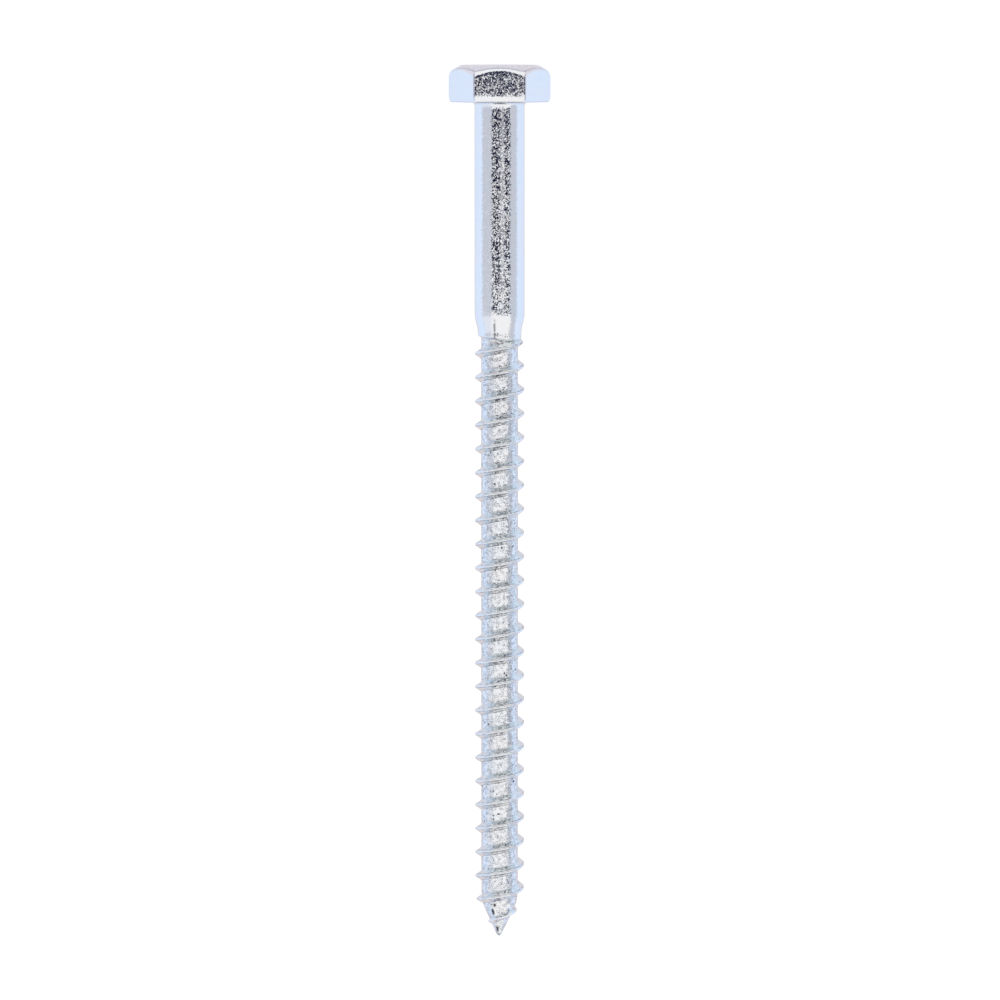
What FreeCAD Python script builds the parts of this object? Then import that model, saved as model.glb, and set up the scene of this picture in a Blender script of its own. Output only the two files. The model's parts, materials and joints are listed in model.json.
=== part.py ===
import FreeCAD, Part

import math
import os

# A hexagon head lag screw, one piece of steel. Sizes are in millimetres and degrees.
# It is drawn upright first: the bearing face of the head is at height 0, the head is
# below it and the tip points up. Then it is laid down the way it comes to rest.

# Head, cold forged
ACROSS_FLATS = 16.9
HEAD_HEIGHT = 7.1
CROWN_FLAT = 14.6
CROWN_ANGLE = 31.0
CROWN_ROUND = 1.5
UPRIGHT_ROUND = 0.7
BEARING_ROUND = 0.6

# Shank, drawn down at its end to the blank that the thread is rolled from
SCREW_LENGTH = 160.0
SHANK_DIAMETER = 9.56
NECK_ROUND = 0.7
NECK_SWEEP = 45.0
PLAIN_LENGTH = 40.6
BLANK_DIAMETER = 8.45
DRAWN_LENGTH = 2.7
DRAWN_ROUND = 6.0
BLANK_LENGTH = 1.1
SHOULDER_STEP = 0.1
SHOULDER_ANGLE = 53.0

# Wood thread, right-handed, one start
THREAD_DIAMETER = 9.45
ROOT_DIAMETER = 7.05
PITCH = 4.57
FLANK_ANGLE = 74.0
FIRST_CREST_LEAD = 1.08
FIRST_ROOT = 0.12
RUN_IN_TURNS = 0.5

# Gimlet point
POINT_ANGLE = 51.0
POINT_EDGE_ROUND = 2.0
TIP_DIAMETER = 0.95
POINT_RIDGE_HEIGHT = 0.7
LOWERING_TURNS = 0.6
RIDGE_TO_TIP = 0.7
FADE_TURNS = 0.75

# How the thread is drawn: the ridge starts and ends at a small share of its full section,
# and its faces follow the helix in half turns that meet each other's corners
SMALLEST_SHARE = 0.08
PIECES_PER_TURN = 2
POINTS_PER_TURN = 16
SPARE_POINTS = 8
BEND_TURNS = 1.5
BEND_STRIPS = 2
SEWING_GAP = 0.0001

Vector = FreeCAD.Vector
CENTRE = Vector(0, 0, 0)
AXIS = Vector(0, 0, 1)
SIDEWAYS = Vector(1, 0, 0)
FULL_TURN = 360.0
QUARTER_TURN = 90.0
HEX_SIDES = 6


def slope(angle):
    """Rise per length of a line at an angle."""
    return math.tan(math.radians(angle))


def place(turn, height, radius):
    """Point at a number of turns about the axis."""
    angle = 2 * math.pi * turn
    return Vector(radius * math.cos(angle), radius * math.sin(angle), height)


def rounded_corner(back, corner, on, rounding):
    """Start, arc and end of the rounding at a corner between its two neighbours."""
    backward = (back - corner).normalize()
    onward = (on - corner).normalize()
    half = backward.getAngle(onward) / 2
    start = corner + backward * (rounding / math.tan(half))
    stop = corner + onward * (rounding / math.tan(half))
    middle = corner + (backward + onward).normalize() * (rounding / math.sin(half) - rounding)
    arcs = [Part.Arc(start, middle, stop).toNurbs().toShape()] if rounding > 0 else []
    return start, arcs, stop


def turned(corners):
    """Solid turned about the axis from an outline of corners: radius, height and rounding."""
    points = [Vector(radius, 0, height) for radius, height, rounding in corners]
    count = len(points)
    rounded = [
        rounded_corner(points[index - 1], points[index], points[(index + 1) % count], corners[index][2])
        for index in range(count)
    ]
    edges = []
    for index, (start, arcs, stop) in enumerate(rounded):
        before = rounded[index - 1][2]
        if before.distanceToPoint(start) > SEWING_GAP:
            edges.append(Part.LineSegment(before, start).toShape())
        edges += arcs
    return Part.Face(Part.Wire(edges)).revolve(CENTRE, AXIS, FULL_TURN)


def corner_radius():
    """Half of the head's size across its corners, before they are rounded."""
    return ACROSS_FLATS / 2 / math.cos(math.pi / HEX_SIDES)


def hexagon_bar():
    """Hexagon of the head with its upright edges and its bearing edges rounded."""
    corners = [place(side / HEX_SIDES, -HEAD_HEIGHT, corner_radius()) for side in range(HEX_SIDES + 1)]
    bar = Part.Face(Part.makePolygon(corners)).extrude(AXIS * HEAD_HEIGHT)
    upright = [edge for edge in bar.Edges if edge.BoundBox.ZLength > HEAD_HEIGHT / 2]
    bar = bar.makeFillet(UPRIGHT_ROUND, upright)
    bearing = [edge for edge in bar.Edges if edge.BoundBox.ZMin > -HEAD_HEIGHT / 2]
    return bar.makeFillet(BEARING_ROUND, bearing)


def head():
    """Forged head: the hexagon cut by the turned form of its chamfered crown."""
    drop = (corner_radius() - CROWN_FLAT / 2) * slope(CROWN_ANGLE)
    crown = turned([
        (0, -HEAD_HEIGHT, 0),
        (CROWN_FLAT / 2, -HEAD_HEIGHT, CROWN_ROUND),
        (corner_radius(), drop - HEAD_HEIGHT, 0),
        (corner_radius(), HEAD_HEIGHT, 0),
        (0, HEAD_HEIGHT, 0),
    ])
    return hexagon_bar().common(crown)


def shoulder_start():
    """Height at which the blank ends in a small flat step."""
    return PLAIN_LENGTH + DRAWN_LENGTH + BLANK_LENGTH


def shoulder_radius():
    """Radius of the shoulder at the flat step."""
    return BLANK_DIAMETER / 2 - SHOULDER_STEP


def shoulder_foot():
    """Height at which the shoulder has fallen to the thread's root."""
    return shoulder_start() + (shoulder_radius() - ROOT_DIAMETER / 2) / slope(SHOULDER_ANGLE)


def shank():
    """Turned shank and blank, from the neck that spreads to the bearing face."""
    sweep = math.radians(NECK_SWEEP)
    reach = NECK_ROUND * math.tan(sweep / 2)
    neck = SHANK_DIAMETER / 2 + reach * math.sin(sweep)
    return turned([
        (0, -HEAD_HEIGHT / 2, 0),
        (neck, -HEAD_HEIGHT / 2, 0),
        (neck, 0, 0),
        (SHANK_DIAMETER / 2, reach * math.cos(sweep), NECK_ROUND),
        (SHANK_DIAMETER / 2, PLAIN_LENGTH, DRAWN_ROUND),
        (BLANK_DIAMETER / 2, PLAIN_LENGTH + DRAWN_LENGTH, 0),
        (BLANK_DIAMETER / 2, shoulder_start(), 0),
        (0, shoulder_start(), 0),
    ])


def apex():
    """Height at which the cone of the point would end if it were sharp."""
    return SCREW_LENGTH + TIP_DIAMETER / 2 / slope(POINT_ANGLE / 2)


def point_start():
    """Height at which the root turns into the cone of the point."""
    return apex() - ROOT_DIAMETER / 2 / slope(POINT_ANGLE / 2)


def root_radius(height):
    """Radius of the root, of the point's cone, or of the rounding between them."""
    past = height - point_start() + POINT_EDGE_ROUND * slope(POINT_ANGLE / 4)
    if past <= 0:
        return ROOT_DIAMETER / 2
    if past >= POINT_EDGE_ROUND * math.sin(math.radians(POINT_ANGLE / 2)):
        return (apex() - height) * slope(POINT_ANGLE / 2)
    return ROOT_DIAMETER / 2 - POINT_EDGE_ROUND + math.sqrt(POINT_EDGE_ROUND**2 - past**2)


def crest_height(turn):
    """Height of the crest, in turns from the first crest on the +X side."""
    return shoulder_start() + FIRST_CREST_LEAD + PITCH * turn


def turn_at(height):
    """Number of turns at which the crest reaches a height."""
    return (height - crest_height(0)) / PITCH


def ridge_start():
    """Turn at which the ridge begins, a little way down the root from the shoulder."""
    return turn_at(shoulder_foot() + FIRST_ROOT + foot() * SMALLEST_SHARE)


def ridge_stop():
    """Turn at which the ridge has run out on the point, a whole number of pieces on."""
    pieces = round((turn_at(SCREW_LENGTH - RIDGE_TO_TIP) - ridge_start()) * PIECES_PER_TURN)
    return ridge_start() + pieces / PIECES_PER_TURN


def lowering_start():
    """Turn at which the ridge begins to get lower towards the point."""
    return turn_at(point_start()) - LOWERING_TURNS / 2


def eased(share):
    """Smooth step from 0 to 1."""
    share = min(max(share, 0.0), 1.0)
    return share * share * (3 - 2 * share)


def ridge_height():
    """Height of the full ridge above the root."""
    return (THREAD_DIAMETER - ROOT_DIAMETER) / 2


def ridge_share(turn):
    """Share of its full section that the ridge has at a turn."""
    run_in = math.sin(math.pi / 2 * min(max(turn - ridge_start(), 0) / RUN_IN_TURNS, 1))
    lowered = 1 - (1 - POINT_RIDGE_HEIGHT / ridge_height()) * eased((turn - lowering_start()) / LOWERING_TURNS)
    faded = 1 - eased((turn - ridge_stop()) / FADE_TURNS + 1)
    return SMALLEST_SHARE + (1 - SMALLEST_SHARE) * min(run_in, lowered * faded)


def ridge_corner(turn, along, out):
    """Point of the ridge's section, along the axis from its middle and out from the root."""
    height = crest_height(turn) + along * ridge_share(turn)
    return place(turn, height, root_radius(height) + out * ridge_share(turn))


def foot():
    """Half of the ridge's width at its foot."""
    return ridge_height() * slope(FLANK_ANGLE / 2)


def near_foot(turn):
    """Foot of the ridge on the side of the head."""
    return ridge_corner(turn, -foot(), 0)


def crest(turn):
    """Crest of the ridge."""
    return ridge_corner(turn, 0, ridge_height())


def far_foot(turn):
    """Foot of the ridge on the side of the tip."""
    return ridge_corner(turn, foot(), 0)


def root_line(share):
    """Line along the root, a share of the way from one turn of the ridge to the next."""
    def point(turn):
        before = far_foot(turn).z
        height = before + (near_foot(turn + 1).z - before) * share
        return place(turn, height, root_radius(height))
    return point


def ring(height, radius):
    """Circle about the axis."""
    return lambda turn: place(turn, height, radius)


def curves(line, start, stop):
    """Curve along a line between two turns, in pieces."""
    steps = round((stop - start) * POINTS_PER_TURN)
    turns = [start + step / POINTS_PER_TURN for step in range(-SPARE_POINTS, steps + SPARE_POINTS + 1)]
    whole = Part.BSplineCurve()
    whole.interpolate(Points=[line(turn) for turn in turns], Parameters=turns)
    pieces = []
    for piece in range(round((stop - start) * PIECES_PER_TURN)):
        part = whole.copy()
        part.segment(start + piece / PIECES_PER_TURN, start + (piece + 1) / PIECES_PER_TURN)
        pieces.append(part)
    return pieces


def with_corners(face, corners):
    """The same face with corners added on its edges, where its neighbours meet."""
    return face.generalFuse([Part.Vertex(corner) for corner in corners])[0].Faces[0]


def strip(one, other, start, stop):
    """Faces between two lines, from one turn to another."""
    faces = []
    for near, far in zip(curves(one, start, stop), curves(other, start, stop)):
        surface = Part.BSplineSurface()
        surface.buildFromPolesMultsKnots(
            [list(pair) for pair in zip(near.getPoles(), far.getPoles())],
            near.getMultiplicities(), [2, 2], near.getKnots(), [0, 1], False, False, near.Degree, 1,
        )
        faces.append(surface.toShape())
    return faces


def disc(line, start):
    """Flat face inside a ring."""
    return Part.Face(Part.Wire([curve.toShape() for curve in curves(line, start, start + 1)]))


def section(turn):
    """Flat face that closes the ridge at a turn."""
    return Part.Face(Part.makePolygon([near_foot(turn), crest(turn), far_foot(turn), near_foot(turn)]))


def ridge_faces(start, stop):
    """Both flanks of the ridge, with its closed ends."""
    flanks = strip(near_foot, crest, start, stop) + strip(crest, far_foot, start, stop)
    return flanks + [section(start), section(stop)]


def root_faces(start, stop):
    """Root between the turns of the ridge, in finer strips where it bends into the point."""
    bend = stop - 1 - BEND_TURNS
    lines = [root_line(share / BEND_STRIPS) for share in range(BEND_STRIPS + 1)]
    faces = strip(lines[0], lines[-1], start, bend)
    faces[-1] = with_corners(faces[-1], [line(bend) for line in lines[1:-1]])
    for one, other in zip(lines, lines[1:]):
        faces += strip(one, other, bend, stop - 1)
    return faces


def top_faces(start):
    """Shoulder under the blank and the root between its foot and the first turn of the ridge."""
    edge = ring(shoulder_start(), shoulder_radius())
    low = ring(shoulder_foot(), ROOT_DIAMETER / 2)
    faces = strip(low, near_foot, start, start + 1)
    faces[-1] = with_corners(faces[-1], [near_foot(start), far_foot(start)])
    return faces + strip(edge, low, start, start + 1) + [disc(edge, start)]


def tip_faces(stop):
    """Bare end of the point, with its small blunt tip."""
    meeting = [root_line(share / BEND_STRIPS)(stop - 1) for share in range(1, BEND_STRIPS)]
    end = ring(SCREW_LENGTH, TIP_DIAMETER / 2)
    cone = strip(far_foot, end, stop - 1, stop)
    cone[0] = with_corners(cone[0], meeting + [near_foot(stop), far_foot(stop)])
    return cone + [disc(end, stop - 1)]


def threaded_rod():
    """Shoulder, root, ridge and point as one solid that seats on the end of the blank."""
    start = ridge_start()
    stop = ridge_stop()
    faces = ridge_faces(start, stop) + root_faces(start, stop) + top_faces(start) + tip_faces(stop)
    shell = Part.Compound(faces)
    shell.sewShape(SEWING_GAP)
    rod = Part.Solid(shell.Shells[0])
    if rod.Volume < 0:
        rod.reverse()
    return rod


def resting_tilt():
    """Angle by which the screw leans on its head's flat and on its last full crest below."""
    lowest = math.floor(lowering_start() - 3 / 4) + 3 / 4
    along = crest_height(lowest) + BEARING_ROUND
    across = ACROSS_FLATS / 2 - BEARING_ROUND - THREAD_DIAMETER / 2
    lean = math.atan2(across, along) + math.asin(BEARING_ROUND / math.hypot(across, along))
    return math.degrees(lean)


def laid_down(screw):
    """The screw on its side, head towards +Y, with the middle of its underside at the origin."""
    screw.rotate(CENTRE, SIDEWAYS, QUARTER_TURN + resting_tilt())
    box = screw.optimalBoundingBox(False, False)
    screw.translate(Vector(-box.Center.x, -box.Center.y, -box.ZMin))
    return screw


def main():
    """Build the screw and write it."""
    os.makedirs("parts", exist_ok=True)
    forged = shank().fuse(head()).removeSplitter()
    screw = forged.fuse(threaded_rod())
    laid_down(screw.Solids[0]).exportStep("parts/lag_screw.step")


main()
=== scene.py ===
"""A zinc plated lag screw, lying at rest on a pale floor and seen from above.

The screw is one piece of steel. Its visible mesh is modelled upright in millimetres, with the
bearing face of the head at height 0 and the tip pointing up, and is then laid down in the frame.
"""

import json
import logging
import math
from contextlib import contextmanager
from dataclasses import dataclass
from enum import Enum
from typing import Any, Iterator

import bpy
import numpy as np
from mathutils import Matrix, Vector


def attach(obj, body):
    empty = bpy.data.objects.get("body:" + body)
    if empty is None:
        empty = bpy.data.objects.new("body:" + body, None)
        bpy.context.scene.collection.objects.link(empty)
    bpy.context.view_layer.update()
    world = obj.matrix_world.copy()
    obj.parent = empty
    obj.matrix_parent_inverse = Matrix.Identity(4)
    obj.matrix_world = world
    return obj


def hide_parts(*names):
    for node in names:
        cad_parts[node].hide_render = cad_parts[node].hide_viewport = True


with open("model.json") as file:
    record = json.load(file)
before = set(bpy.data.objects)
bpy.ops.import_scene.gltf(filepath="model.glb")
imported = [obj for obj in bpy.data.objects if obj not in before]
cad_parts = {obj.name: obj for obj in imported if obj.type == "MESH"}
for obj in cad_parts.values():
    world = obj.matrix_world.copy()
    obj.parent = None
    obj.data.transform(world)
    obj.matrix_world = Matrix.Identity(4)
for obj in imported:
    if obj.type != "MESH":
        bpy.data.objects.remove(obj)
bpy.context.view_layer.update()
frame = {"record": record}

LOG = logging.getLogger("lag_screw")
MILLIMETRE = 0.001
NODE = "lag_screw"
BODY = "root"
SLOT = "zinc_plate"
HEX_SIDES = 6
FULL_TURN = 2 * math.pi

Colour = tuple[float, float, float, float]
Span = tuple[float, float]
Band = tuple[float, float, float, float]
WHITE: Colour = (1.0, 1.0, 1.0, 1.0)
RIDGE_RISE: Span = (0.25, 0.75)


class Maths(Enum):
    """Operations of the Math and the Vector Math nodes."""

    ADD = "ADD"
    SUBTRACT = "SUBTRACT"
    MULTIPLY = "MULTIPLY"
    SIZE = "ABSOLUTE"
    DOT = "DOT_PRODUCT"
    SCALE = "SCALE"
    UNIT = "NORMALIZE"


def choose(piece: bpy.types.Object) -> None:
    """Selects one piece alone and makes it the active one.

    Args:
        piece: The object to select.
    """
    bpy.ops.object.select_all(action="DESELECT")
    bpy.context.view_layer.objects.active = piece
    piece.select_set(True)


@contextmanager
def editing(piece: bpy.types.Object) -> Iterator[None]:
    """Puts one piece in edit mode and leaves it again.

    Args:
        piece: The mesh object to edit.
    """
    choose(piece)
    bpy.ops.object.mode_set(mode="EDIT")
    yield
    bpy.ops.object.mode_set(mode="OBJECT")


def positions(piece: bpy.types.Object) -> np.ndarray:
    """Places of all vertices of a piece.

    Args:
        piece: The mesh object to read.

    Returns:
        One row of x, y and z for each vertex.
    """
    places = np.empty(len(piece.data.vertices) * 3)
    piece.data.vertices.foreach_get("co", places)
    return places.reshape(-1, 3)


def move_to(piece: bpy.types.Object, places: np.ndarray) -> None:
    """Moves all vertices of a piece to the given rows of x, y and z."""
    piece.data.vertices.foreach_set("co", places.ravel())
    piece.data.update()


def apply_modifier(piece: bpy.types.Object, modifier: bpy.types.Modifier) -> None:
    """Applies a modifier, so that its result is the mesh.

    Args:
        piece: The object that has the modifier.
        modifier: The modifier to apply.
    """
    choose(piece)
    bpy.ops.object.modifier_apply(modifier=modifier.name)


def clean(piece: bpy.types.Object, gap: float) -> None:
    """Merges doubled vertices and turns all faces outwards.

    Args:
        piece: The mesh object to clean.
        gap: Greatest distance between vertices that are merged.
    """
    with editing(piece):
        bpy.ops.mesh.select_all(action="SELECT")
        bpy.ops.mesh.remove_doubles(threshold=gap)
        bpy.ops.mesh.normals_make_consistent(inside=False)


def stepped(low: float, high: float, share: np.ndarray | float) -> np.ndarray | float:
    """Smooth step from 0 below one value to 1 above another.

    Args:
        low: Value at which the step begins.
        high: Value at which the step ends.
        share: The values to judge.

    Returns:
        The step at each value.
    """
    along = np.clip((share - low) / (high - low), 0.0, 1.0)
    return along * along * (3 - 2 * along)


def rounded_turn(
    before: np.ndarray, corner: np.ndarray, after: np.ndarray, radius: np.ndarray | float, steps: int
) -> list[np.ndarray]:
    """Points of a circular rounding at a corner of an outline.

    Args:
        before: Point of the outline before the corner, with x and y in the last axis.
        corner: The corner.
        after: Point of the outline after the corner.
        radius: Radius of the rounding.
        steps: Number of straight steps along the rounding.

    Returns:
        The points from the start of the rounding to its end.
    """
    back = (before - corner) / np.linalg.norm(before - corner, axis=-1, keepdims=True)
    on = (after - corner) / np.linalg.norm(after - corner, axis=-1, keepdims=True)
    half = np.arccos(np.clip((back * on).sum(-1, keepdims=True), -1, 1)) / 2
    reach = np.asarray(radius)[..., None] / np.tan(half)
    middle = (back + on) / np.linalg.norm(back + on, axis=-1, keepdims=True)
    centre = corner + middle * (np.asarray(radius)[..., None] / np.sin(half))
    start = corner + back * reach - centre
    stop = corner + on * reach - centre
    swing = np.pi - 2 * half
    points = []
    for step in range(steps + 1):
        share = step / steps
        turn = (np.sin((1 - share) * swing) * start + np.sin(share * swing) * stop) / np.sin(swing)
        points.append(centre + turn)
    return points


@dataclass
class Thread:
    """Wood thread and gimlet point, rolled on the screw's end. Sizes in millimetres and degrees."""

    major_radius: float = 4.725
    root_radius: float = 3.525
    pitch: float = 4.57
    flank_angle: float = 66.0
    crest_land: float = 0.36
    first_crest: float = 45.48
    hidden_turns: float = 0.35
    run_in_turns: float = 0.6
    screw_length: float = 160.0
    point_angle: float = 51.0
    point_edge_round: float = 2.0
    tip_radius: float = 0.42
    tip_round: float = 0.3
    tip_closed: float = 0.98
    point_ridge: float = 0.72
    lowering_turns: float = 0.6
    ridge_to_tip: float = 1.6
    fade_turns: float = 0.35
    tip_lean: float = -0.13
    lean_start: float = 150.0
    top: float = 42.0
    spare_turns: int = 3
    columns: int = 96
    root_steps: int = 5
    flank_steps: int = 4
    foot_softness: float = 0.045
    support: float = 0.09
    crest_softness: float = 0.09
    seam_depth: float = 0.035
    seam_width: float = 0.05
    seam_slow: float = 1.9
    seam_fast: float = 5.3
    seam_small: float = 0.6
    seam_more: float = 0.25
    seam_opens: Span = (0.1, 0.8)
    merge_gap: float = 0.0036
    cut_gap: float = 0.00036

    @property
    def ridge(self) -> float:
        """Height of the full ridge above the root."""
        return self.major_radius - self.root_radius

    @property
    def foot(self) -> float:
        """Half of the ridge's width at its foot."""
        return self.crest_land / 2 + self.ridge * math.tan(math.radians(self.flank_angle / 2))

    @property
    def cone(self) -> float:
        """Radius that the point loses per length."""
        return math.tan(math.radians(self.point_angle / 2))

    @property
    def apex(self) -> float:
        """Height at which the cone of the point would end if it were sharp."""
        return self.screw_length - self.tip_round / 2 + self.tip_radius / self.cone

    @property
    def point_start(self) -> float:
        """Height at which the root turns into the cone of the point."""
        return self.apex - self.root_radius / self.cone

    @property
    def start(self) -> float:
        """Turn at which the ridge begins."""
        return -self.hidden_turns

    @property
    def stop(self) -> float:
        """Turn at which the ridge has run out on the point."""
        return (self.screw_length - self.ridge_to_tip - self.first_crest) / self.pitch

    def root(self, height: np.ndarray) -> np.ndarray:
        """Radius of the root and of the point.

        Args:
            height: Heights along the screw.

        Returns:
            The radius at each height.
        """
        cone = (self.apex - height) * self.cone
        edge = self.point_edge_round * self.cone / 4
        rounded = (cone + self.root_radius - np.sqrt((cone - self.root_radius) ** 2 + 4 * edge**2)) / 2
        past = (height - self.screw_length + self.tip_round) / self.tip_round
        closed = np.sqrt(1 - np.clip(past, 0, self.tip_closed) ** 2)
        return np.maximum(rounded, self.tip_radius / 2) * closed

    def share(self, turn: np.ndarray) -> np.ndarray:
        """Share of its full section that the ridge has.

        Args:
            turn: Turns along the helix.

        Returns:
            The share at each turn, from 0 to 1.
        """
        run_in = np.sin(math.pi / 2 * np.clip((turn - self.start) / self.run_in_turns, 0, 1))
        begins = (self.point_start - self.first_crest) / self.pitch - self.lowering_turns / 2
        drop = 1 - self.point_ridge / self.ridge
        lowered = 1 - drop * stepped(begins, begins + self.lowering_turns, turn)
        faded = 1 - stepped(self.stop - self.fade_turns, self.stop, turn)
        return np.minimum(run_in, lowered * faded)

    def section(self, along: np.ndarray) -> np.ndarray:
        """Height of the full ridge, with its foot and its crest softened.

        Args:
            along: Distances from the middle of the ridge along the axis.

        Returns:
            The height above the root at each distance.
        """
        slope = (self.foot - np.abs(along)) / (self.foot - self.crest_land / 2)
        above = (slope + np.sqrt(slope**2 + self.foot_softness**2)) / 2
        below = ((1 - above) + np.sqrt((1 - above) ** 2 + self.crest_softness**2)) / 2
        foot_rise = self.foot_softness**2 / 4
        return self.ridge * np.maximum(1 - below + self.crest_softness**2 / 2 - foot_rise, 0)

    def profile(self) -> np.ndarray:
        """Finds where one pitch of the thread has its vertices, closer together at its edges.

        Returns:
            Distances along the axis from the middle of the ridge.
        """
        valley = self.pitch / 2
        edge = self.crest_land / 2
        soft = self.foot * self.foot_softness
        root = np.linspace(valley, self.foot + self.support, self.root_steps)
        flank = np.linspace(self.foot - self.support, edge + self.support, self.flank_steps)
        foot = np.array([self.foot + soft, self.foot])
        crest = np.array([edge + soft / 2, edge - soft / 2, edge / 3])
        half = np.concatenate([root, foot, flank, crest])
        return np.concatenate([-half, half[::-1]])

    def draw_profile(self) -> bpy.types.Object:
        """Draws one pitch of the thread as a line of edges.

        Returns:
            The line as an object.
        """
        along = self.profile()
        radius = self.root_radius + self.section(along)
        bpy.ops.mesh.primitive_plane_add(size=1, location=(0, 0, 0))
        line = bpy.context.active_object
        line.name = "thread"
        with editing(line):
            bpy.ops.mesh.select_all(action="SELECT")
            bpy.ops.mesh.merge(type="CENTER")
            bpy.ops.transform.translate(value=(radius[0], 0, along[0]))
            for step in range(1, len(along)):
                outwards = radius[step] - radius[step - 1]
                bpy.ops.mesh.extrude_region_move(
                    TRANSFORM_OT_translate={"value": (outwards, 0, along[step] - along[step - 1])}
                )
        return line

    def wind(self, line: bpy.types.Object) -> None:
        """Winds the profile up the helix, from well inside the shank to past the tip.

        Args:
            line: The profile of one pitch.
        """
        turns = math.ceil((self.screw_length - self.top) / self.pitch) + self.spare_turns
        screw = line.modifiers.new("helix", "SCREW")
        screw.axis = "Z"
        screw.angle = FULL_TURN
        screw.screw_offset = self.pitch
        screw.iterations = turns
        screw.steps = self.columns
        screw.render_steps = self.columns
        screw.use_merge_vertices = False
        apply_modifier(line, screw)
        places = positions(line)
        first = math.floor((self.top - self.first_crest) / self.pitch) - 1
        places[:, 2] += self.first_crest + first * self.pitch
        move_to(line, places)
        clean(line, self.merge_gap)

    def shape(self, rod: bpy.types.Object) -> None:
        """Gives the plain helix its run-in, its gimlet point and its seam.

        Args:
            rod: The wound thread.
        """
        x, y, z = positions(rod).T
        angle = np.arctan2(y, x)
        height = np.hypot(x, y) - self.root_radius
        share = angle / FULL_TURN
        turn = share + np.round((z - self.first_crest) / self.pitch - share)
        along = z - self.first_crest - self.pitch * turn
        inside = np.abs(along) <= self.foot
        side = np.where(along > 0, 1.0, -1.0)
        here = self.share(turn)
        there = self.share(turn + side)
        valley = self.pitch - 2 * self.foot
        part = np.clip((np.abs(along) - self.foot) / valley, 0, 1)
        near_foot = self.foot * here
        far_foot = self.pitch - self.foot * there
        outside = side * (near_foot + (far_foot - near_foot) * part)
        moved = self.first_crest + self.pitch * turn + np.where(inside, along * here, outside)
        height = height - self.seam(turn, along)
        radius = self.root(moved) + height * here
        leaning = (moved - self.lean_start) / (self.screw_length - self.lean_start)
        aside = self.tip_lean * np.clip(leaning, 0, 1) ** 2
        move_to(rod, np.column_stack([radius * np.cos(angle) + aside, radius * np.sin(angle), moved]))

    def seam(self, turn: np.ndarray, along: np.ndarray) -> np.ndarray:
        """Depth of the fold that rolling leaves here and there along the crest.

        Args:
            turn: Turns along the helix.
            along: Distances from the middle of the ridge.

        Returns:
            The depth at each place.
        """
        waves = np.sin(turn * self.seam_slow) + self.seam_small * np.sin(turn * self.seam_fast + 1)
        open_here = stepped(*self.seam_opens, waves + self.seam_more)
        return self.seam_depth * open_here * np.exp(-((along / self.seam_width) ** 2))

    def cut_ends(self, rod: bpy.types.Object) -> None:
        """Cuts the rod square inside the shank and at the tip, and closes both ends.

        Args:
            rod: The shaped thread.
        """
        for height, upwards in ((self.top, -1.0), (self.screw_length, 1.0)):
            with editing(rod):
                bpy.ops.mesh.select_all(action="SELECT")
                bpy.ops.mesh.bisect(
                    plane_co=(0, 0, height),
                    plane_no=(0, 0, upwards),
                    use_fill=True,
                    clear_outer=True,
                    threshold=self.cut_gap,
                )
        clean(rod, self.merge_gap)

    def build(self) -> bpy.types.Object:
        """Makes the closed rod of thread and point.

        Returns:
            The rod as an object.
        """
        rod = self.draw_profile()
        self.wind(rod)
        self.shape(rod)
        self.cut_ends(rod)
        return rod


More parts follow.
